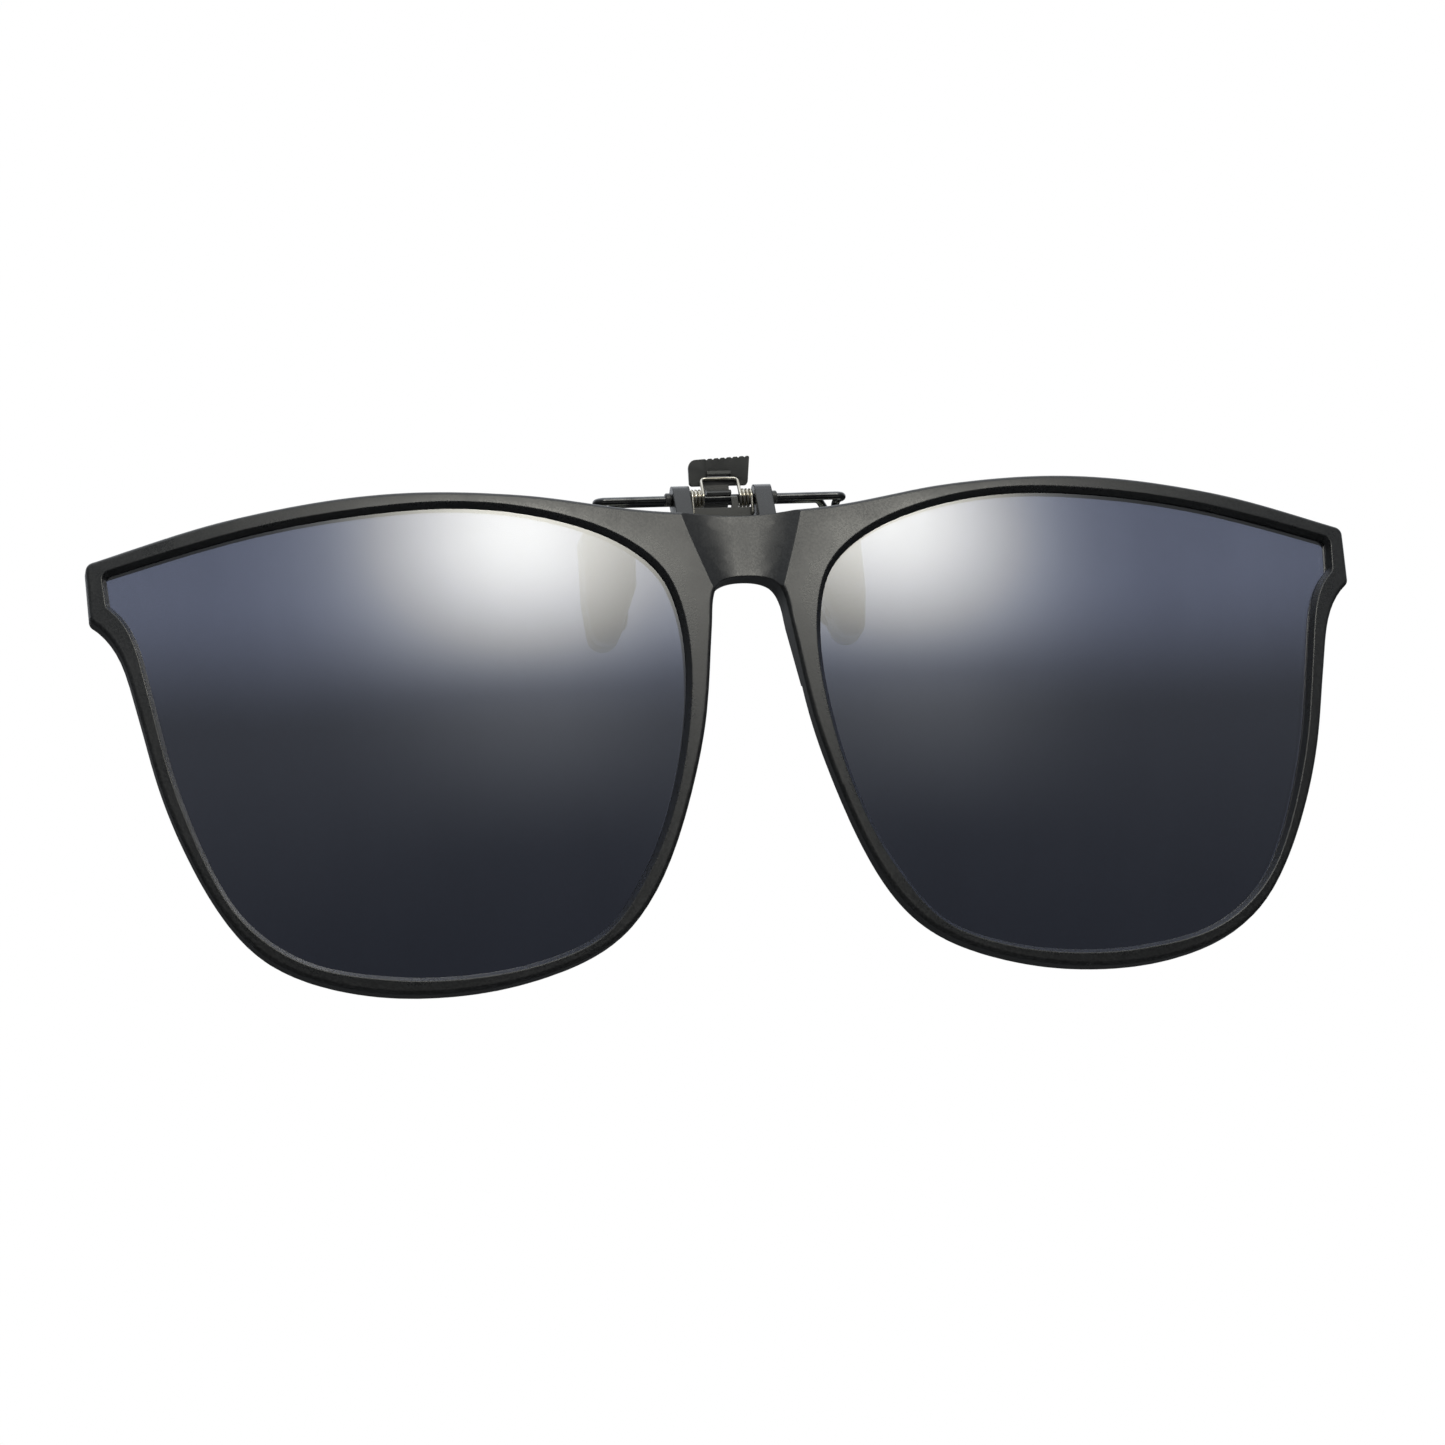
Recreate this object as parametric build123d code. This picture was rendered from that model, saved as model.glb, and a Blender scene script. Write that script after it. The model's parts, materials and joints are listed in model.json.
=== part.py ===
from build123d import *
from build123d import SkipClean
import math
import os

# Flip-up clip-on sunglasses, in millimetres.
# The origin is the middle of the closed jaws, where the wearer's spectacles are gripped.
# +X points to the wearer's left, -Y to the front and +Z up.

# Curved front: one frame moulding and two lenses on concentric spheres.
lens_curve_radius = 261.5
frame_mid_x = 1.4
front_y = -9.8
lens_mid_z = -21.0
frame_thickness = 2.8
lens_recess = 1.0
lens_thickness = 1.0
lens_edge_in_groove = 0.55
groove_clearance = 0.04
front_bevel_width = 0.6
outer_edge_radius = 0.45
rear_edge_radius = 0.5
corner_radius = 1.0
opening_corner_radius = 0.5

# Outline of the front, x from its mirror plane and z from the lens mid-height.
bridge_top_z = 27.6
arch_top_z = 20.05
outer_top_corner = (74.5, 26.9)
outer_low_corner = (74.3, 19.9)
top_edge = [(13.0, 28.6), (25.5, 31.0), (39.0, 32.15), (57.0, 30.75)]
side_edge = [(71.1, 15.3), (69.6, 9.2), (67.9, 1.0), (65.3, -7.4), (61.6, -15.3)]
bottom_edge = [(56.3, -21.6), (48.1, -25.4), (37.0, -26.8), (25.9, -25.35), (17.2, -21.3)]
nasal_edge = [(11.6, -13.6), (8.5, -5.6), (6.1, 3.4), (4.6, 13.9), (3.95, 17.9), (2.75, 19.5)]

# Headings of both outlines where they leave and reach the outer corners.
top_corner_heading = (1, -0.22)
outline_low_heading = (-1, -0.8)
opening_low_heading = (-1, -0.9)

# Lens opening, same axes, from its low outer corner round to its top outer corner.
opening_low_corner = (71.9, 21.6)
opening_top_corner = (72.2, 25.2)
opening_side = [(69.2, 17.2), (67.9, 11.2), (66.8, 5.2), (65.2, -1.8), (62.4, -10.0)]
opening_bottom = [(58.2, -17.3), (51.5, -22.2), (43.0, -24.3), (34.8, -24.75), (26.6, -23.7)]
opening_nasal = [(19.8, -21.0), (14.6, -14.6), (11.1, -7.0), (8.9, 1.5), (7.95, 10.5)]
opening_top = [(9.2, 18.8), (12.8, 23.5), (19.0, 26.95), (28.3, 29.45), (39.0, 30.1), (55.0, 28.75)]

# Scooped face of the bridge: half width and depth, at two heights.
scoop_low = {"z": 17.5, "half_width": 3.8, "depth": 1.15}
scoop_high = {"z": 29.0, "half_width": 7.65, "depth": 1.6}
scoop_reach = 4.0

# Boss that thickens the back of the bridge, and thins out down both sides of the nose gap.
boss_thickness = 1.7
boss_overlap = 0.8
boss_z = (7.0, 26.9)
boss_full_z = 17.0
boss_half_width = (6.9, 7.3)
boss_edge_radius = 0.5
ramp_reach = 12.0

# Flip hinge along X, and the ears of the frame that hold it.
hinge_y = -3.8
hinge_z = 9.7
hinge_wire_radius = 0.475
running_clearance = 0.05
ear_inner_x = 3.8
ear_width = 2.0
ear_head_radius = 1.55
ear_foot_y = (-6.95, -5.5)
ear_foot_z = (4.6, 6.2)

# Front jaw: the hinge wire runs out sideways, bends back and hangs down behind each lens.
arm_reach_x = 14.8
leg_x = 13.9
leg_foot_z = -4.3
hook_width = 1.9
hook_top_z = 2.5
wire_bend_radius = 0.9
jaw_gap = 0.3
pad_thickness = 2.2
pad_y = jaw_gap / 2 + pad_thickness / 2
arm_end_rise = 0.3

# Rear jaw: a second wire held by the thumb lever.
rear_wire_radius = 0.45
rear_bar_dy = 2.55
rear_bar_dz = 0.45
rear_bar_reach_x = 12.0
rear_leg_x = 13.6
rear_leg_drop = 1.2

# Silicone pads: circles whose common hull is the pad, as outward x, z and radius.
pad_mid_x = 13.3
pad_circles = [(-1.9, 5.7, 1.3), (1.8, 5.7, 1.3), (-1.5, 0.4, 1.5), (1.5, -1.2, 1.7), (1.0, -5.2, 1.8)]
pad_edge_radius = 0.7
pad_bore_clearance = 0.02

# Thumb lever: stamped sheet that rocks on the hinge wire.
sheet = 0.5
tab_half_width = 3.8
tab_left_x = -3.45
tab_right_low_x = 3.4
tab_low_z = 1.85
tab_top_z = 5.2
tab_left_top_z = 4.8
tab_top_y = 0.35
tab_round = 0.9
tab_small_round = 0.4
tab_sharp_round = 0.2
neck_x = (-1.7, 1.15)
saddle_end_angle = 155
curl_sweep = 250
window_half_width = 1.4
window_z = (2.4, 2.95)
tongue_reach = 0.75
tongue_thickness = 0.4
tooth_pitch = 0.75
tooth_depth = 0.15
tooth_count = 7

# Spring stop: a small plate welded under the hinge wire.
stop_front_dy = -0.7
stop_sheet = 0.45
stop_bar_half_width = 3.6
stop_bar_z = (-2.5, -1.3)
stop_bar_round = 0.3
stop_stem_x = (1.1, 1.9)
stop_stem_top_z = -0.1

# Torsion spring: two coils on the hinge wire, joined by a loop on the lever's face.
spring_wire_radius = 0.2
coil_radius = 0.9
coil_turns = 3
coil_points_per_turn = 12
coil_inner_x = 2.15
coil_outer_x = 3.48
loop_y = 0.2
loop_z = 2.5
loop_corner = 0.5
spring_leg_z = -2.3

# Retaining collars crimped on the hinge wire, outside the ears.
collar_radius = 0.78
collar_length = 0.7
collar_chamfer = 0.12
collar_gap = 0.06

lens_plane = Plane(origin=(frame_mid_x, front_y, lens_mid_z), x_dir=(1, 0, 0), z_dir=(0, -1, 0))
side_plane = Plane(origin=(0, hinge_y, hinge_z), x_dir=(0, 1, 0), z_dir=(1, 0, 0))
sphere_centre = Location((frame_mid_x, front_y + lens_curve_radius, lens_mid_z))
prism_depth = 30.0


def shell(face, near, far):
    """The part of a frontal outline that lies between two depths behind the front sphere."""
    prism = extrude(lens_plane * face, amount=prism_depth, both=True)
    outer = sphere_centre * Sphere(lens_curve_radius - near)
    inner = sphere_centre * Sphere(lens_curve_radius - far)
    return (prism & outer) - inner


def behind_front(z, depth):
    """Distance behind the front's foremost point, on its middle line, at a height and a depth."""
    return lens_curve_radius - math.sqrt((lens_curve_radius - depth) ** 2 - z**2)


def smooth_run(points, first_heading, last_heading):
    """A smooth curve through the points: short splines that share a heading where they meet."""
    last = len(points) - 1

    def heading(i):
        if i == 0:
            return first_heading
        if i == last:
            return last_heading
        return (points[i + 1][0] - points[i - 1][0], points[i + 1][1] - points[i - 1][1])

    joints = list(range(0, last, 2)) + [last]
    pairs = zip(joints, joints[1:])
    return [Spline(points[a : b + 1], tangents=[heading(a), heading(b)]).edge() for a, b in pairs]


def front_outline():
    """Closed outline of the whole front, made of one half and its mirror image."""
    top = smooth_run([(0, bridge_top_z)] + top_edge + [outer_top_corner], (1, 0), top_corner_heading)
    end = Line(outer_top_corner, outer_low_corner).edge()
    lower = side_edge + bottom_edge + nasal_edge
    side = smooth_run([outer_low_corner] + lower + [(0, arch_top_z)], outline_low_heading, (-1, 0))
    half = top + [end] + side
    whole = make_face(half + [edge.mirror(Plane.YZ) for edge in half])
    corners = [v for v in whole.vertices() if abs(v.X) > outer_low_corner[0] - corner_radius]
    return fillet(corners, corner_radius)


def moved_out(point, first_normal, second_normal, distance):
    """A corner moved outwards, so that both lines that meet there move by the distance."""
    (ax, az), (bx, bz) = first_normal, second_normal
    scale = distance / (1 + ax * bx + az * bz)
    return (point[0] + scale * (ax + bx), point[1] + scale * (az + bz))


def lens_outline(growth):
    """Outline of the left lens opening, grown by a distance on all sides."""
    run = [opening_low_corner] + opening_side + opening_bottom + opening_nasal
    run += opening_top + [opening_top_corner]
    headings = [(b[0] - a[0], b[1] - a[1]) for a, b in zip(run, run[2:])]
    headings = [opening_low_heading] + headings + [top_corner_heading]
    normals = [(-z / math.hypot(x, z), x / math.hypot(x, z)) for x, z in headings]
    grown = [moved_out(p, n, n, growth) for p, n in zip(run, normals)]
    end_normal = (1, 0)
    grown[0] = moved_out(run[0], normals[0], end_normal, growth)
    grown[-1] = moved_out(run[-1], normals[-1], end_normal, growth)
    curve = smooth_run(grown, opening_low_heading, top_corner_heading)
    face = make_face(curve + [Line(grown[-1], grown[0]).edge()])
    corners = [v for v in face.vertices() if v.X > opening_low_corner[0] - opening_corner_radius]
    return fillet(corners, opening_corner_radius + growth)


def scoop_section(at):
    """Section of the bridge scoop at one height: a shallow arc, open to the front."""
    surface = at["z"] ** 2 / (2 * lens_curve_radius)
    half = at["half_width"]
    arc = ThreePointArc((-half, surface), (0, surface + at["depth"]), (half, surface))
    front = surface - scoop_reach
    box = Polyline((half, surface), (half, front), (-half, front), (-half, surface))
    plane = Plane(origin=(frame_mid_x, front_y, lens_mid_z + at["z"]))
    return plane * make_face([arc.edge()] + list(box.edges()))


def bridge_boss():
    """Boss behind the bridge, with the arch's own outline, rounded edges and a ramp at its foot."""
    low, high = boss_z
    low_x, high_x = boss_half_width
    zone = Polyline((-low_x, low), (low_x, low), (high_x, high), (-high_x, high), (-low_x, low))
    face = front_outline() & make_face(zone)
    body = shell(face, frame_thickness - boss_overlap, frame_thickness + boss_thickness)
    back = outer_rims(body, lens_curve_radius - frame_thickness - boss_thickness)
    body = fillet(back, boss_edge_radius)
    foot = (behind_front(low, frame_thickness), low)
    top = (behind_front(boss_full_z, frame_thickness + boss_thickness), boss_full_z)
    ramp = Polyline(foot, top, (ramp_reach, boss_full_z), (ramp_reach, low), foot)
    plane = Plane(origin=(frame_mid_x, front_y, lens_mid_z), x_dir=(0, 1, 0), z_dir=(1, 0, 0))
    return body - extrude(plane * make_face(ramp), amount=ramp_reach, both=True)


def ear(side):
    """One lug on the bridge, leaning back to the hinge."""
    head = Circle(ear_head_radius)
    foot_y = [y - hinge_y for y in ear_foot_y]
    foot_z = [z - hinge_z for z in ear_foot_z]
    foot = Pos(sum(foot_y) / 2, sum(foot_z) / 2) * Rectangle(foot_y[1] - foot_y[0], foot_z[1] - foot_z[0])
    profile = side_plane * make_hull(head.edges() + foot.edges())
    start = ear_inner_x if side > 0 else -ear_inner_x - ear_width
    return Pos(start, 0, 0) * extrude(profile, amount=ear_width)


def hinge_cylinder(radius, x_from, x_to):
    """A cylinder on the hinge axis."""
    middle = Location(((x_from + x_to) / 2, hinge_y, hinge_z), (0, 90, 0))
    return middle * Cylinder(radius, x_to - x_from)


def outer_rims(body, sphere_radius):
    """The outer edges of one curved face: its boundary and the arch, but not the lens openings."""
    face = body.faces().filter_by(GeomType.SPHERE).sort_by(lambda f: abs(f.radius - sphere_radius))[0]
    return face.outer_wire().edges()


def front_frame():
    """Frame moulding: both rims, the scooped bridge, the lens grooves and the hinge ears."""
    opening = lens_outline(0)
    face = front_outline() - opening - mirror(opening, Plane.YZ)
    body = shell(face, 0, frame_thickness)
    front_face = body.faces().filter_by(GeomType.SPHERE).sort_by(lambda f: -f.radius)[0]
    opening_edges = [edge for wire in front_face.inner_wires() for edge in wire.edges()]
    body = chamfer(opening_edges, front_bevel_width, lens_recess)
    body = fillet(outer_rims(body, lens_curve_radius), outer_edge_radius)
    body = fillet(outer_rims(body, lens_curve_radius - frame_thickness), rear_edge_radius)
    body += bridge_boss()
    body -= loft([scoop_section(scoop_low), scoop_section(scoop_high)])
    for side in (-1, 1):
        body += ear(side)
    reach = ear_inner_x + ear_width + 1
    body -= hinge_cylinder(hinge_wire_radius + running_clearance, -reach, reach)
    groove = lens_solid(groove_clearance)
    return body - groove - other_side(groove)


def lens_solid(extra):
    """The lens on the wearer's left, or with extra, the space of its groove."""
    outline = lens_outline(lens_edge_in_groove + extra)
    return shell(outline, lens_recess - extra, lens_recess + lens_thickness + extra)


def other_side(solid):
    """The same solid on the other side of the front's mirror plane."""
    return mirror(solid, Plane(origin=(frame_mid_x, 0, 0), z_dir=(1, 0, 0)))


def wire_form(half_route, radius):
    """A bent wire that is its own mirror image: a round section along a filleted route."""
    left = [(-x, y, z) for x, y, z in reversed(half_route)]
    path = FilletPolyline(*left, *half_route, radius=wire_bend_radius)
    section = Plane(origin=path @ 0, z_dir=path % 0) * Circle(radius)
    return sweep(section, path=path)


def hook(x, y):
    """The hidden end of a jaw wire: down, across and a little way up, inside its pad."""
    inner = x - hook_width
    return [(x, y, leg_foot_z), (inner, y, leg_foot_z), (inner, y, hook_top_z)]


def front_jaw_wire():
    """Hinge wire and front jaw in one piece."""
    arm = [(arm_reach_x, hinge_y, hinge_z), (leg_x, -pad_y, hinge_z + arm_end_rise)]
    return wire_form(arm + hook(leg_x, -pad_y), hinge_wire_radius)


def rear_jaw_wire():
    """Rear jaw: a cross bar held by the lever, with a leg to each rear pad."""
    bar_y = hinge_y + rear_bar_dy
    bar_z = hinge_z + rear_bar_dz
    arm = [(rear_bar_reach_x, bar_y, bar_z), (rear_leg_x, pad_y, bar_z - rear_leg_drop)]
    return wire_form(arm + hook(rear_leg_x, pad_y), rear_wire_radius)


def pad(side, y, wire):
    """A moulded silicone pad round the hooked end of a wire."""
    rounds = [Pos(side * x, z) * Circle(r) for x, z, r in pad_circles]
    outline = make_hull([edge for circle in rounds for edge in circle.edges()])
    front = Plane(origin=(side * pad_mid_x, y + pad_thickness / 2, 0), x_dir=(1, 0, 0), z_dir=(0, -1, 0))
    body = extrude(front * outline, amount=pad_thickness)
    body = fillet(body.faces().filter_by(Axis.Y).edges(), pad_edge_radius)
    return body - wire


def thumb_lever():
    """Thumb lever: tab, neck, saddle over the hinge wire and a curl round the rear wire."""
    centre = sheet / 2 + hinge_wire_radius + running_clearance
    curl_radius = rear_wire_radius + sheet / 2
    web_z = rear_bar_dz + curl_radius
    tab = Polyline((tab_top_y, tab_top_z), (centre, tab_low_z), (centre, 0))
    saddle = CenterArc((0, 0), centre, 0, saddle_end_angle)
    web = Line((centre, web_z), (rear_bar_dy, web_z))
    curl = CenterArc((rear_bar_dy, rear_bar_dz), curl_radius, 90, -curl_sweep)
    profile = trace(tab, sheet) + trace(saddle, sheet) + trace(web, sheet) + trace(curl, sheet)
    strip = extrude(side_plane * profile, amount=tab_half_width, both=True)
    return (strip & lever_front()) - lever_window() + lever_tongue()


def upright(face):
    """A frontal face on the clip's middle, turned into a deep prism."""
    plane = Plane(origin=(0, hinge_y, hinge_z), x_dir=(1, 0, 0), z_dir=(0, -1, 0))
    return extrude(plane * face, amount=prism_depth, both=True)


def lever_front():
    """Front view of the lever: a tab with rounded corners and teeth, on a narrow neck."""
    left_low = (tab_left_x, tab_low_z)
    left_top = (tab_left_x, tab_left_top_z)
    right_top = (tab_half_width, tab_top_z)
    right_low = (tab_right_low_x, tab_low_z)
    tab = make_face(Polyline(left_low, left_top, right_top, right_low, left_low))
    for corner, radius in (
        (left_low, tab_small_round),
        (left_top, tab_round),
        (right_top, tab_sharp_round),
        (right_low, tab_small_round),
    ):
        tab = fillet(tab.vertices().sort_by_distance((*corner, 0))[0], radius)
    slope = (tab_top_z - tab_left_top_z) / (tab_half_width - tab_left_x)
    for i in range(tooth_count):
        x = tab_half_width - tab_sharp_round - (i + 0.5) * tooth_pitch
        edge_z = tab_top_z + slope * (x - tab_half_width)
        left_foot = (x - tooth_pitch / 2, edge_z + tooth_depth)
        right_foot = (x + tooth_pitch / 2, edge_z + tooth_depth)
        notch = Polyline(left_foot, right_foot, (x, edge_z - tooth_depth), left_foot)
        tab -= make_face(notch)
    neck = Rectangle(neck_x[1] - neck_x[0], 2 * (tab_low_z + sheet))
    return upright(tab + Pos(sum(neck_x) / 2, 0) * neck)


def lever_window():
    """Slot punched through the tab behind the spring's loop."""
    height = window_z[1] - window_z[0]
    return upright(Pos(0, sum(window_z) / 2) * Rectangle(2 * window_half_width, height))


def lever_tongue():
    """Lip folded forward from the top of the slot, which keeps the spring's loop in place."""
    y_back = tab_top_y + sheet / 2
    middle = (0, hinge_y + y_back - tongue_reach / 2, hinge_z + window_z[1] + tongue_thickness / 2)
    return Pos(*middle) * Box(2 * window_half_width, tongue_reach, tongue_thickness)


def spring_stop():
    """Plate welded under the hinge wire: the spring's legs push it towards the rear pads."""
    stem_height = stop_stem_top_z - stop_bar_z[0] - stop_bar_round
    stem = Rectangle(stop_stem_x[1] - stop_stem_x[0], stem_height)
    stem = Pos(sum(stop_stem_x) / 2, stop_stem_top_z - stem_height / 2) * stem
    bar = Rectangle(2 * stop_bar_half_width, stop_bar_z[1] - stop_bar_z[0])
    bar = Pos(0, sum(stop_bar_z) / 2) * fillet(bar.vertices(), stop_bar_round)
    front = Plane(origin=(0, hinge_y + stop_front_dy, hinge_z), x_dir=(1, 0, 0), z_dir=(0, -1, 0))
    plate = extrude(front * (bar + stem), amount=-stop_sheet)
    return plate - hinge_cylinder(hinge_wire_radius, -arm_reach_x, arm_reach_x)


def coil_points():
    """Centre line of the left spring coil, from the loop to the leg."""
    reach = math.hypot(loop_y, loop_z)
    start = math.atan2(loop_z, loop_y) + math.acos(coil_radius / reach)
    end = math.pi * (1 + 2 * coil_turns)
    steps = coil_points_per_turn * coil_turns
    points = []
    for i in range(steps + 1):
        part_way = i / steps
        angle = start + (end - start) * part_way
        x = coil_inner_x + (coil_outer_x - coil_inner_x) * part_way
        y = hinge_y + coil_radius * math.cos(angle)
        z = hinge_z + coil_radius * math.sin(angle)
        points.append((x, y, z))
    return points


def torsion_spring():
    """Double torsion spring: loop over the lever, two coils and two legs on the spring stop."""
    points = coil_points()
    loop_middle = (0, hinge_y + loop_y, hinge_z + loop_z)
    loop_end = (coil_inner_x, hinge_y + loop_y, hinge_z + loop_z)
    into_coil = tuple(a - b for a, b in zip(points[0], loop_end))
    loop = FilletPolyline(loop_middle, loop_end, points[0], radius=loop_corner)
    coil = Spline(points, tangents=[into_coil, (0, 0, -1)])
    x, y, z = points[-1]
    leg = Line((x, y, z), (x, y, hinge_z + spring_leg_z))
    path = Wire(list(loop.edges()) + [coil.edge(), leg.edge()])
    section = Plane(origin=loop_middle, z_dir=(1, 0, 0)) * Circle(spring_wire_radius)
    half = sweep(section, path=path)
    return half + mirror(half, Plane.YZ)


def retaining_collar(side):
    """Collar crimped on the hinge wire, outside one ear."""
    near = side * (ear_inner_x + ear_width + collar_gap)
    far = near + side * collar_length
    body = hinge_cylinder(collar_radius, min(near, far), max(near, far))
    body = chamfer(body.edges().filter_by(GeomType.CIRCLE), collar_chamfer)
    return body - hinge_cylinder(hinge_wire_radius, min(near, far), max(near, far))


def all_parts():
    """Every node of the assembly, by name. The front's long curves stay in short faces."""
    with SkipClean():
        frame = front_frame()
        lens = lens_solid(0)
    front_wire = front_jaw_wire()
    rear_wire = rear_jaw_wire()
    parts = {
        "front_frame": frame,
        "lens_left": lens,
        "lens_right": other_side(lens),
        "front_jaw_wire": front_wire,
        "rear_jaw_wire": rear_wire,
        "thumb_lever": thumb_lever(),
        "spring_stop": spring_stop(),
        "torsion_spring": torsion_spring(),
    }
    for name, side in (("left", 1), ("right", -1)):
        parts[f"retaining_collar_{name}"] = retaining_collar(side)
        parts[f"front_pad_{name}"] = pad(side, -pad_y, front_wire)
        parts[f"rear_pad_{name}"] = pad(side, pad_y, rear_wire)
    return parts


os.makedirs("parts", exist_ok=True)
for node, solid in all_parts().items():
    export_step(solid, f"parts/{node}.step")
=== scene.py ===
import json
import math

import bmesh
import bpy
from mathutils import Matrix, Vector


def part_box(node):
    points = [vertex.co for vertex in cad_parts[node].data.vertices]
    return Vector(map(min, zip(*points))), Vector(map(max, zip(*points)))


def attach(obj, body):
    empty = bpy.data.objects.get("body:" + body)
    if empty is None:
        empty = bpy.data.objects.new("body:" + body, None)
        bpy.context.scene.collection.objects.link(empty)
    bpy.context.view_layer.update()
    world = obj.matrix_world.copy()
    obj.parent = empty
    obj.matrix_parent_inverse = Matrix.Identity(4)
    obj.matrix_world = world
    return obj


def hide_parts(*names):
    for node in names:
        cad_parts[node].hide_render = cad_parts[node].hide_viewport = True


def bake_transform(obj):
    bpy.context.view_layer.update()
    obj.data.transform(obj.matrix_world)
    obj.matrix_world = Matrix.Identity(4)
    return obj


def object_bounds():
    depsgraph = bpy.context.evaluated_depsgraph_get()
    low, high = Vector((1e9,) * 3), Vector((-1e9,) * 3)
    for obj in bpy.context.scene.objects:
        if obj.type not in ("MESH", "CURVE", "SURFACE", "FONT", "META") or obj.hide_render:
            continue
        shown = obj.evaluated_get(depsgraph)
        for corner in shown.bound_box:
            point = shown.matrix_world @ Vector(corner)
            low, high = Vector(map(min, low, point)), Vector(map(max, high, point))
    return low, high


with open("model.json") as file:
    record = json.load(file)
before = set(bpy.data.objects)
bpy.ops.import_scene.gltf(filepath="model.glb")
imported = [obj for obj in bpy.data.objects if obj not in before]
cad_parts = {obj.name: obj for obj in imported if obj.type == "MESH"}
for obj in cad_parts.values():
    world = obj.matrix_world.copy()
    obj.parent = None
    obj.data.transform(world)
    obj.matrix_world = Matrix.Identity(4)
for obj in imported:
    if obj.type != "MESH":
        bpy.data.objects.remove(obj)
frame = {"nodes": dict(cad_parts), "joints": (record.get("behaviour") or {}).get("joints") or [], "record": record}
cad_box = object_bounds()

MM = 0.001


# ---------------------------------------------------------------- places taken from the frame

def joint(name):
    """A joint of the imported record, by name."""
    return next(j for j in frame["joints"] if j["name"] == name)


hinge = Vector(joint("jaw_open")["pos_m"])

# Distance from the outermost point of each jaw wire in to the middle of its leg.
front_leg_inset = 1.01 * MM
rear_leg_inset = 0.45 * MM

# ---------------------------------------------------------------- camera

def place_camera():
    """Slightly from the wearer's right and from below, with the head of the camera tilted."""
    azimuth = math.radians(-10.44)
    elevation = math.radians(-15.0)
    tilt = math.radians(4.72)
    distance = 0.600
    focal_length = 132.07
    sensor_width = 36.0
    target = Vector((-3.05, -9.7, -18.75)) * MM
    back = Vector((
        math.sin(azimuth) * math.cos(elevation),
        -math.cos(azimuth) * math.cos(elevation),
        math.sin(elevation),
    ))
    data = bpy.data.cameras.new("camera")
    data.lens = focal_length
    data.sensor_width = sensor_width
    data.clip_start = 0.01
    data.dof.use_dof = False
    camera = bpy.data.objects.new("camera", data)
    bpy.context.scene.collection.objects.link(camera)
    level = back.to_track_quat("Z", "Y").to_matrix()
    turn = Matrix.Rotation(-tilt, 3, "Z")
    camera.matrix_world = Matrix.Translation(target + back * distance) @ (level @ turn).to_4x4()
    bpy.context.scene.camera = camera


place_camera()


# ---------------------------------------------------------------- node helpers

class Nodes:
    """Short ways to add and link shader nodes in one tree."""

    def __init__(self, tree):
        self.tree = tree
        tree.nodes.clear()

    def add(self, kind, **settings):
        """A node, with its attributes and input values set by name."""
        node = self.tree.nodes.new(kind)
        for key, value in settings.items():
            if hasattr(node, key):
                setattr(node, key, value)
            else:
                self.put(node, key.replace("_", " "), value)
        return node

    def put(self, node, socket, value):
        """Sets or links one input, found by its name or number."""
        target = node.inputs[socket]
        if hasattr(value, "is_output"):
            self.tree.links.new(value, target)
        else:
            target.default_value = value
        return node

    def math(self, operation, first, second=0.0, third=0.0, clamp=False):
        """One maths node's result."""
        node = self.add("ShaderNodeMath", operation=operation, use_clamp=clamp)
        for i, value in enumerate((first, second, third)):
            self.put(node, i, value)
        return node.outputs[0]

    def remap(self, value, low, high, out_low=0.0, out_high=1.0):
        """A value moved from one range to another, eased at both ends."""
        node = self.add("ShaderNodeMapRange", interpolation_type="SMOOTHSTEP")
        for socket, v in zip(("Value", "From Min", "From Max", "To Min", "To Max"),
                             (value, low, high, out_low, out_high)):
            self.put(node, socket, v)
        return node.outputs["Result"]

    def blend(self, factor, first, second):
        """A mix of two colours."""
        node = self.add("ShaderNodeMix", data_type="RGBA")
        sockets = [s for s in node.inputs if s.type == "RGBA"]
        self.put(node, 0, factor)
        for socket, value in zip(sockets, (first, second)):
            if hasattr(value, "is_output"):
                self.tree.links.new(value, socket)
            else:
                socket.default_value = value
        return next(s for s in node.outputs if s.type == "RGBA")

    def noise(self, scale, detail=2.0, roughness=0.5, vector=None, stretch=None):
        """Fine noise in object space, with scale in cells per metre."""
        place = vector or self.add("ShaderNodeTexCoord").outputs["Object"]
        if stretch:
            mapping = self.add("ShaderNodeMapping")
            self.put(mapping, "Vector", place)
            self.put(mapping, "Scale", stretch)
            place = mapping.outputs["Vector"]
        node = self.add("ShaderNodeTexNoise")
        self.put(node, "Vector", place)
        self.put(node, "Scale", scale)
        self.put(node, "Detail", detail)
        self.put(node, "Roughness", roughness)
        return node.outputs["Fac"]

    def bump(self, height, depth, strength=1.0, rounding=0.0):
        """A bump from a height of 0 to 1, with its depth and the rounding of edges in metres."""
        node = self.add("ShaderNodeBump")
        for socket, v in (("Height", height), ("Distance", depth), ("Strength", strength)):
            self.put(node, socket, v)
        if rounding:
            bevel = self.add("ShaderNodeBevel", samples=8)
            self.put(bevel, "Radius", rounding)
            self.put(node, "Normal", bevel.outputs["Normal"])
        return node.outputs["Normal"]


def rgb(red, green, blue):
    """A colour from its display values, 0 to 255."""
    def linear(v):
        v /= 255
        return v / 12.92 if v <= 0.04045 else ((v + 0.055) / 1.055) ** 2.4
    return (linear(red), linear(green), linear(blue), 1.0)


def new_material(name):
    """A material with an empty node tree: (material, node helper, principled shader)."""
    material = bpy.data.materials.new(name)
    material.use_nodes = True
    nodes = Nodes(material.node_tree)
    shader = nodes.add("ShaderNodeBsdfPrincipled")
    output = nodes.add("ShaderNodeOutputMaterial")
    nodes.put(output, "Surface", shader.outputs[0])
    return material, nodes, shader


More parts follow.
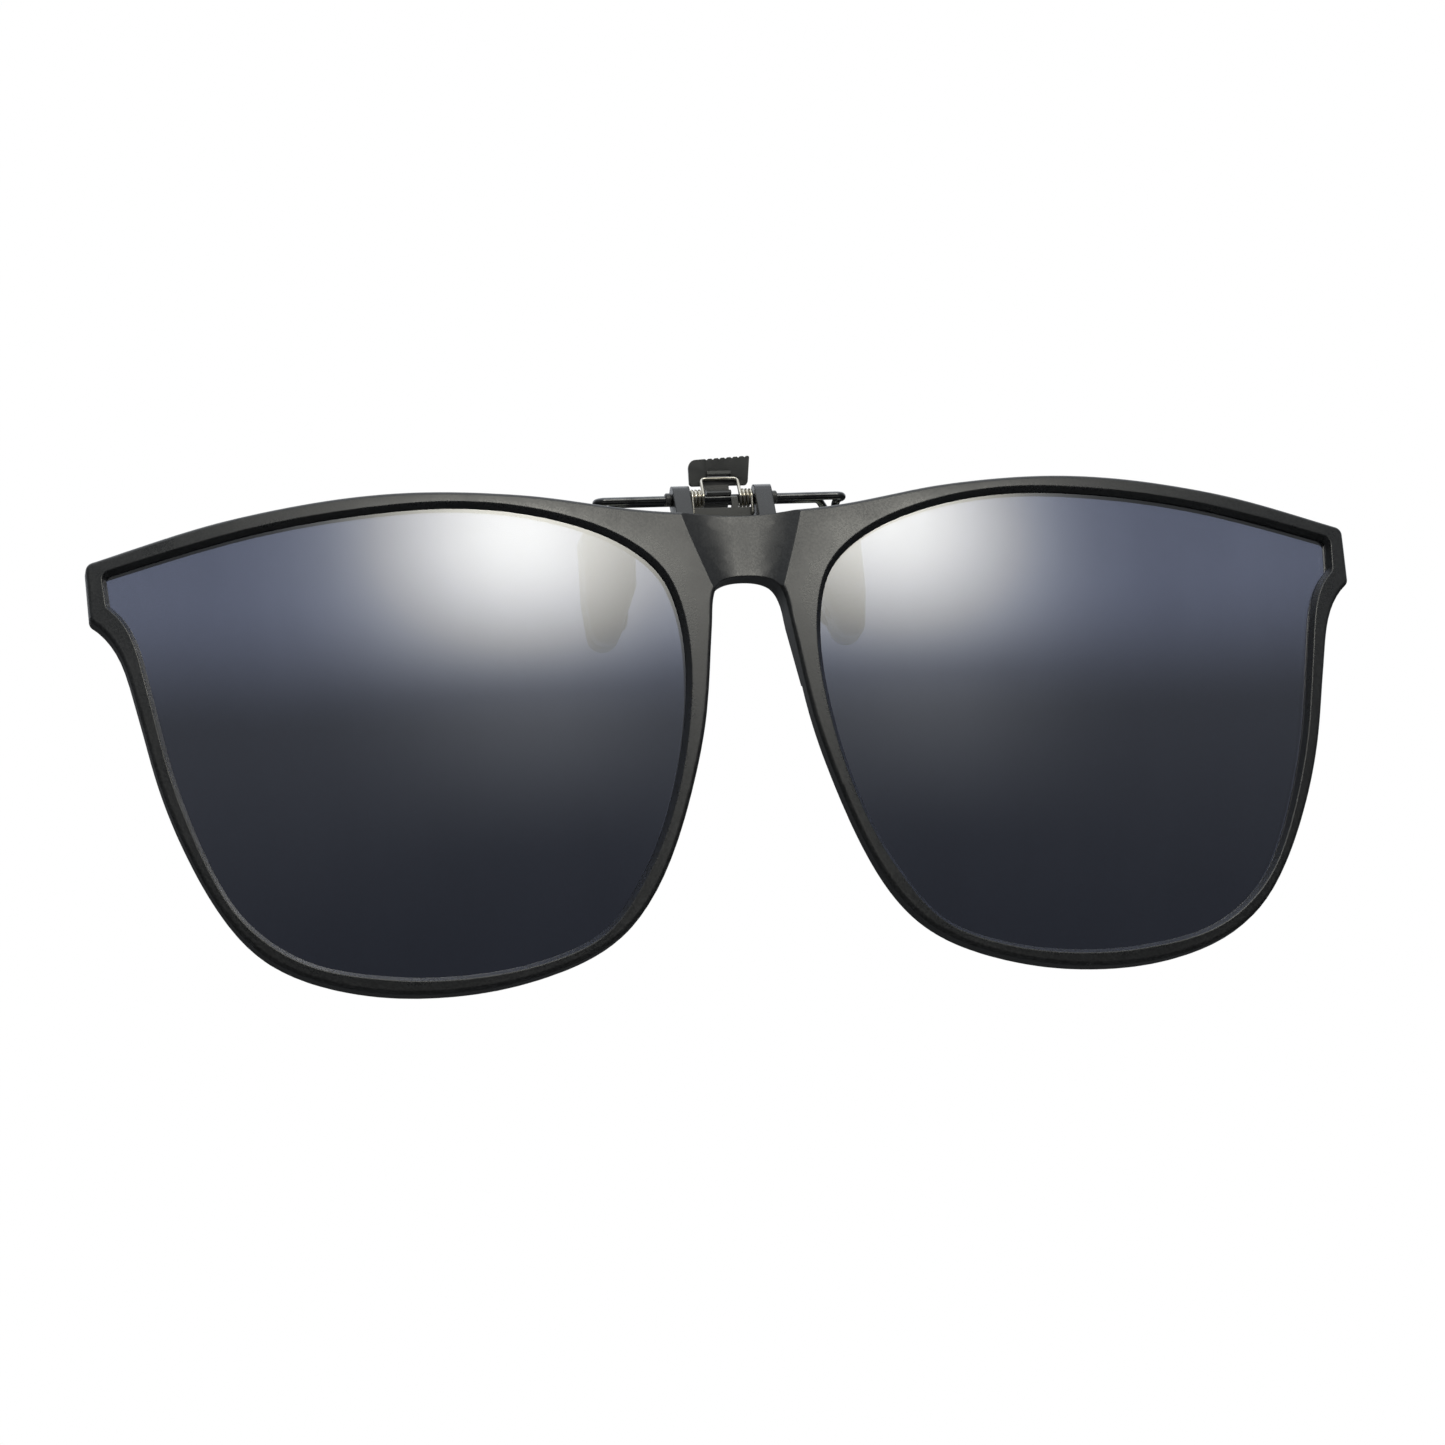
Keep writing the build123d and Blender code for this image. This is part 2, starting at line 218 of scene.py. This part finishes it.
def convex_edge_mask(nodes, low, high):
    """1 along convex edges and 0 elsewhere."""
    geometry = nodes.add("ShaderNodeNewGeometry")
    return nodes.remap(geometry.outputs["Pointiness"], low, high)


# ---------------------------------------------------------------- materials

def frame_plastic():
    """Satin black moulded plastic with a fine spark-eroded grain, slightly polished edges and a painted highlight
    along them.
    """
    material, nodes, shader = new_material("frame_plastic")
    grain = nodes.noise(4600.0, detail=2.0)
    cloud = nodes.noise(160.0, detail=2.0)
    convex_edges = convex_edge_mask(nodes, 0.52, 0.60)
    speckle = nodes.remap(nodes.noise(4200.0, detail=1.0), 0.35, 0.65)
    colour = nodes.blend(speckle, rgb(7, 8, 8), rgb(27, 28, 28))
    # Convex edges are lightened towards rgb(42, 43, 43): a painted edge highlight. The same edges are also made
    # glossier in the roughness below.
    painted_edge_highlight = nodes.math("MULTIPLY", convex_edges, 0.3)
    nodes.put(shader, "Base Color", nodes.blend(painted_edge_highlight, colour, rgb(42, 43, 43)))
    cloudy = nodes.remap(cloud, 0.3, 0.7, 0.31, 0.35)
    rough = nodes.math("ADD", cloudy, nodes.remap(speckle, 0.0, 1.0, 0.0, 0.05))
    nodes.put(shader, "Roughness", nodes.math("SUBTRACT", rough, nodes.math("MULTIPLY", convex_edges, 0.1)))
    nodes.put(shader, "Specular IOR Level", 1.0)
    nodes.put(shader, "Normal", nodes.bump(grain, 0.012 * MM, 0.45, rounding=0.22 * MM))
    return material


def smoke_lens():
    """Polarised smoke sheet: a blue-grey body under a mirror coat, with a trace of haze."""
    material, nodes, shader = new_material("smoke_lens")
    smear = nodes.noise(90.0, detail=4.0, roughness=0.6, stretch=(1.0, 1.0, 0.35))
    dust = nodes.noise(2600.0, detail=1.0)
    shade = nodes.remap(smear, 0.3, 0.7)
    tint = nodes.blend(shade, rgb(92, 97, 116), rgb(97, 102, 121))
    nodes.put(shader, "Base Color", tint)
    nodes.put(shader, "Transmission Weight", 1.0)
    nodes.put(shader, "Roughness", nodes.math(
        "ADD", nodes.remap(smear, 0.45, 0.75, 0.01, 0.03), nodes.remap(dust, 0.74, 0.8, 0.0, 0.03)))
    nodes.put(shader, "IOR", 1.5)
    nodes.put(shader, "Coat Weight", 1.0)
    nodes.put(shader, "Coat Roughness", 0.02)
    nodes.put(shader, "Coat IOR", 1.9)
    return material


def black_wire():
    """Black nickel plated spring wire, drawn lengthways."""
    material, nodes, shader = new_material("black_wire")
    drawn = nodes.noise(5200.0, detail=2.0, stretch=(0.06, 1.0, 1.0))
    patch = nodes.noise(420.0, detail=3.0)
    shade = nodes.remap(patch, 0.35, 0.7)
    nodes.put(shader, "Base Color", nodes.blend(shade, rgb(84, 85, 86), rgb(112, 113, 113)))
    nodes.put(shader, "Metallic", 1.0)
    nodes.put(shader, "Roughness", nodes.remap(drawn, 0.3, 0.7, 0.16, 0.28))
    nodes.put(shader, "Normal", nodes.bump(drawn, 0.006 * MM, 0.6))
    return material


def black_sheet():
    """Black plated stamped steel: satin faces, and a painted highlight lightening the sheared edges."""
    material, nodes, shader = new_material("black_sheet")
    grain = nodes.noise(7000.0, detail=3.0, stretch=(0.2, 1.0, 1.0))
    patch = nodes.noise(600.0, detail=3.0)
    convex_edges = convex_edge_mask(nodes, 0.52, 0.60)
    colour = nodes.blend(nodes.remap(patch, 0.35, 0.7), rgb(17, 18, 19), rgb(29, 30, 31))
    # The convex edges are painted lighter, rgb(84, 84, 82): a painted edge highlight.
    nodes.put(shader, "Base Color", nodes.blend(convex_edges, colour, rgb(84, 84, 82)))
    nodes.put(shader, "Metallic", 0.3)
    nodes.put(shader, "Specular IOR Level", 0.35)
    nodes.put(shader, "Roughness", nodes.remap(grain, 0.3, 0.7, 0.28, 0.40))
    nodes.put(shader, "Normal", nodes.bump(grain, 0.008 * MM, 0.6, rounding=0.08 * MM))
    return material


def spring_steel():
    """Bright nickel plated spring wire."""
    material, nodes, shader = new_material("spring_steel")
    drawn = nodes.noise(6000.0, detail=2.0)
    patch = nodes.noise(900.0, detail=2.0)
    shade = nodes.remap(patch, 0.35, 0.7)
    nodes.put(shader, "Base Color", nodes.blend(shade, rgb(206, 200, 184), rgb(236, 231, 218)))
    nodes.put(shader, "Metallic", 1.0)
    nodes.put(shader, "Roughness", nodes.remap(drawn, 0.3, 0.7, 0.12, 0.24))
    return material


def silicone():
    """Milky silicone: light spreads inside it, and the skin has a soft moulded haze."""
    material, nodes, shader = new_material("silicone")
    cloud = nodes.noise(240.0, detail=3.0)
    skin = nodes.noise(5200.0, detail=3.0)
    shade = nodes.remap(cloud, 0.35, 0.65)
    nodes.put(shader, "Base Color", nodes.blend(shade, rgb(228, 229, 214), rgb(240, 240, 229)))
    nodes.put(shader, "Subsurface Weight", 0.6)
    nodes.put(shader, "Subsurface Radius", (1.0, 0.95, 0.8))
    nodes.put(shader, "Subsurface Scale", 1.2 * MM)
    nodes.put(shader, "Roughness", nodes.remap(cloud, 0.3, 0.7, 0.34, 0.46))
    nodes.put(shader, "Normal", nodes.bump(skin, 0.008 * MM, 0.5))
    return material


MATERIALS = {
    "frame_plastic": frame_plastic(),
    "smoke_lens": smoke_lens(),
    "black_wire": black_wire(),
    "black_sheet": black_sheet(),
    "spring_steel": spring_steel(),
    "silicone": silicone(),
}


def dress_cad_nodes():
    """Each CAD node gets the finished material of its slot in the record."""
    for part in frame["record"]["subparts"]:
        node = frame["nodes"][part["node"]]
        material = MATERIALS[part["material_slot"]]
        if not node.material_slots:
            node.data.materials.append(material)
        for entry in node.material_slots:
            entry.material = material


dress_cad_nodes()


def even_shading(name):
    """Lets the large faces of a CAD node carry the shading, so that its fillets don't bend it."""
    modifier = frame["nodes"][name].modifiers.new("even_shading", "WEIGHTED_NORMAL")
    modifier.weight = 80
    modifier.keep_sharp = True


even_shading("front_frame")


# ---------------------------------------------------------------- pieces in place of plain CAD nodes

def new_piece(name, mesh, slot_name, *replaced):
    """A finished piece: it takes the place of CAD nodes and the finish of a slot."""
    piece = bpy.data.objects.new(name, mesh)
    bpy.context.scene.collection.objects.link(piece)
    mesh.materials.clear()
    mesh.materials.append(MATERIALS[slot_name])
    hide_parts(*replaced)
    return piece


def add_tube(bm, points, radii, sides=20):
    """A closed tube with domed ends, along points that are close together."""
    count = len(points)
    ring_before = None
    normal = None
    rings = []
    for i, point in enumerate(points):
        heading = (points[min(i + 1, count - 1)] - points[max(i - 1, 0)]).normalized()
        if normal is None:
            normal = heading.orthogonal().normalized()
        normal = (normal - heading * normal.dot(heading)).normalized()
        across = heading.cross(normal)
        ring = []
        for k in range(sides):
            angle = 2 * math.pi * k / sides
            offset = normal * math.cos(angle) + across * math.sin(angle)
            ring.append(bm.verts.new(point + offset * radii[i]))
        if ring_before:
            for k in range(sides):
                after = (k + 1) % sides
                bm.faces.new((ring_before[k], ring_before[after], ring[after], ring[k]))
        ring_before = ring
        rings.append(ring)
    bm.faces.new(list(reversed(rings[0])))
    bm.faces.new(rings[-1])


def domed(radius, count, steps=4):
    """Radii of a tube whose ends taper to a dome."""
    radii = [radius] * count
    for i in range(steps):
        share = math.sqrt(1 - ((steps - i) / (steps + 0.5)) ** 2)
        radii[i] = radius * share
        radii[count - 1 - i] = radius * share
    return radii


def resampled(points, step):
    """The same polyline with a point at every step of its length."""
    out = [points[0]]
    left = step
    for a, b in zip(points, points[1:]):
        span = (b - a).length
        at = left
        while at < span:
            out.append(a.lerp(b, at / span))
            at += step
        left = at - span
    out.append(points[-1])
    return out


def rounded(points, radius):
    """A polyline with each corner turned into an arc."""
    out = [points[0]]
    for before, corner, after in zip(points, points[1:], points[2:]):
        back = (before - corner).normalized()
        on = (after - corner).normalized()
        half = back.angle(on) / 2
        reach = radius / math.tan(half)
        middle = corner + (back + on).normalized() * (radius / math.sin(half))
        first = corner + back * reach - middle
        last = corner + on * reach - middle
        for i in range(9):
            out.append(middle + first.slerp(last, i / 8) * radius)
    out.append(points[-1])
    return out


def torsion_spring():
    """Double torsion spring: cross loop, two wound coils on the hinge and a leg from each."""
    low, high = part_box("torsion_spring")
    wire = 0.2 * MM
    coil = hinge.y - low.y - wire
    inner_x = 2.15 * MM
    outer_x = high.x - wire
    loop = Vector((0, hinge.y + wire, high.z - wire))
    rise = loop.z - hinge.z
    start = math.atan2(rise, wire) + math.acos(coil / math.hypot(wire, rise))
    turns = 3
    steps = 72 * turns
    bend_radius = 0.5 * MM
    point_spacing = 0.06 * MM
    bm = bmesh.new()
    wound = []
    for i in range(steps + 1):
        share = i / steps
        angle = start + (math.pi * (1 + 2 * turns) - start) * share
        x = inner_x + (outer_x - inner_x) * share
        y = hinge.y + coil * math.cos(angle)
        z = hinge.z + coil * math.sin(angle)
        wound.append(Vector((x, y, z)))
    bend = rounded([loop, Vector((inner_x, loop.y, loop.z)), wound[0]], bend_radius)
    half = bend + wound[1:] + [Vector((outer_x, hinge.y - coil, low.z + 0.05 * MM))]
    route = [Vector((-p.x, p.y, p.z)) for p in reversed(half[1:])] + half
    points = resampled(route, point_spacing)
    add_tube(bm, points, domed(wire * 0.99, len(points)), sides=18)
    bmesh.ops.recalc_face_normals(bm, faces=bm.faces)
    mesh = bpy.data.meshes.new("torsion_spring_wire")
    bm.to_mesh(mesh)
    bm.free()
    for polygon in mesh.polygons:
        polygon.use_smooth = True
    piece = new_piece("torsion_spring_wire", mesh, "spring_steel", "torsion_spring")
    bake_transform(piece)


def smooth_mask(value, low, high):
    """0 below low, 1 above high, eased in between."""
    share = min(1.0, max(0.0, (value - low) / (high - low)))
    return share * share * (3 - 2 * share)


def soft_pad(node, body, leg_x, grip):
    """Moulded pad: soft edges, a sleeve at the wire, a ribbed grip face and a parting line."""
    voxel = 0.17 * MM
    rib_pitch = 1.25 * MM
    rib_depth = 0.11 * MM
    hollow_depth = 0.07 * MM
    seam_height = 0.05 * MM
    seam_share = 0.07
    source = frame["nodes"][node]
    low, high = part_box(node)
    middle = (low + high) / 2
    half = (high - low) / 2
    bm = bmesh.new()
    bm.from_mesh(source.data)
    sleeve = [Vector((leg_x, middle.y, high.z + (i * 0.12 - 0.9) * MM)) for i in range(15)]
    add_tube(bm, sleeve, [(0.98 - 0.36 * smooth_mask(i, 3, 14)) * MM for i in range(15)], sides=24)
    rough = bpy.data.meshes.new(node + "_rough")
    bm.to_mesh(rough)
    bm.free()
    helper = bpy.data.objects.new(node + "_rough", rough)
    bpy.context.scene.collection.objects.link(helper)
    modifier = helper.modifiers.new("voxels", "REMESH")
    modifier.mode = "VOXEL"
    modifier.voxel_size = voxel
    smoothing = helper.modifiers.new("smoothing", "SMOOTH")
    smoothing.factor = 0.5
    smoothing.iterations = 6
    evaluated = helper.evaluated_get(bpy.context.evaluated_depsgraph_get())
    mesh = bpy.data.meshes.new_from_object(evaluated)
    bpy.data.objects.remove(helper)
    for vertex in mesh.vertices:
        x, y, z = (vertex.co - middle)
        across = y / half.y
        upright = 1 - smooth_mask(abs(z) / half.z, 0.72, 0.92)
        inward = 1 - smooth_mask(abs(x) / half.x, 0.55, 0.85)
        face = smooth_mask(abs(across), 0.8, 0.97) * upright * inward
        if across * grip > 0:
            wave = 0.5 - 0.5 * math.cos(2 * math.pi * z / rib_pitch)
            vertex.co.y -= grip * face * wave * rib_depth
        else:
            vertex.co.y -= grip * face * hollow_depth * (1 - (x / half.x) ** 2)
        seam = math.exp(-(across / seam_share) ** 2) * seam_height
        outward = Vector((vertex.normal.x, 0, vertex.normal.z))
        if abs(z) < half.z and outward.length > 0.5:
            vertex.co += outward.normalized() * seam
    for polygon in mesh.polygons:
        polygon.use_smooth = True
    mesh.name = node + "_soft"
    piece = new_piece(node + "_soft", mesh, "silicone", node)
    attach(piece, body)


torsion_spring()
front_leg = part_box("front_jaw_wire")[1].x - front_leg_inset
rear_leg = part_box("rear_jaw_wire")[1].x - rear_leg_inset
for side, name in ((1, "left"), (-1, "right")):
    soft_pad("front_pad_" + name, "clip", side * front_leg, 1)
    soft_pad("rear_pad_" + name, "rear_jaw", side * rear_leg, -1)


# ---------------------------------------------------------------- studio

def studio_world():
    """White to the camera; to the part, a dim studio with two softboxes and pale paper behind."""
    world = bpy.data.worlds.new("studio")
    world.use_nodes = True
    bpy.context.scene.world = world
    nodes = Nodes(world.node_tree)
    parts = nodes.add("ShaderNodeSeparateXYZ")
    nodes.put(parts, 0, nodes.add("ShaderNodeTexCoord").outputs["Generated"])
    x, y, z = parts.outputs
    height = nodes.math("DEGREES", nodes.math("ARCSINE", z))
    bearing = nodes.math("DEGREES", nodes.math("ARCTAN2", x, nodes.math("MULTIPLY", y, -1.0)))

    def beam(centre, spread):
        """The glow of one softbox across, fading to both sides."""
        off = nodes.math("DIVIDE", nodes.math("SUBTRACT", bearing, centre), spread)
        square = nodes.math("MULTIPLY", off, off)
        return nodes.math("EXPONENT", nodes.math("MULTIPLY", square, -1.0))

    beams = nodes.math("ADD", beam(-2.5, 8.7), beam(21.5, 8.0))
    rising = nodes.remap(height, 18.2, 29.0, 0.0, 5.3)
    falling = nodes.remap(height, 34.0, 44.0, 1.0, 0.0)
    body = nodes.math("MULTIPLY", rising, falling)
    skirt = nodes.remap(height, 8.0, 22.0, 0.0, 0.48)
    softboxes = nodes.math("MULTIPLY", beams, nodes.math("ADD", body, skirt))
    walls = nodes.remap(height, 0.0, 27.0, 0.06, 0.22)
    ceiling = nodes.remap(height, 35.0, 70.0, 0.0, 0.8)
    room = nodes.math("ADD", walls, ceiling)
    behind = nodes.remap(y, 0.1, 0.5)
    paper_edge = nodes.math("MULTIPLY_ADD", x, 3.2, height)
    paper = nodes.math("MULTIPLY", behind, nodes.remap(paper_edge, 15.5, 17.1, 0.0, 0.76))
    light = nodes.math("ADD", nodes.math("ADD", room, paper), softboxes)
    tone = nodes.blend(nodes.remap(softboxes, 0.0, 2.0), rgb(242, 247, 253), rgb(255, 253, 243))
    lit = nodes.add("ShaderNodeBackground")
    nodes.put(lit, "Color", tone)
    nodes.put(lit, "Strength", light)
    seen = nodes.add("ShaderNodeBackground")
    nodes.put(seen, "Color", (1.0, 1.0, 1.0, 1.0))
    mix = nodes.add("ShaderNodeMixShader")
    nodes.put(mix, 0, nodes.add("ShaderNodeLightPath").outputs["Is Camera Ray"])
    nodes.put(mix, 1, lit.outputs[0])
    nodes.put(mix, 2, seen.outputs[0])
    nodes.put(nodes.add("ShaderNodeOutputWorld"), "Surface", mix.outputs[0])


def studio_floor():
    """A plain pale floor, well below the part, which hangs in the air as it does on spectacles."""
    low, high = cad_box
    bpy.ops.mesh.primitive_plane_add(size=6.0, location=(0, 0, low[2] - 0.25))
    floor = bpy.context.object
    floor.name = "floor"
    material, nodes, shader = new_material("floor_paper")
    fibre = nodes.noise(40.0, detail=4.0)
    nodes.put(shader, "Base Color", nodes.blend(fibre, rgb(236, 236, 236), rgb(243, 243, 242)))
    nodes.put(shader, "Roughness", 0.9)
    floor.data.materials.append(material)
    floor.visible_glossy = False
    floor.visible_transmission = False


studio_world()
studio_floor()
bpy.context.scene.view_settings.view_transform = "Standard"
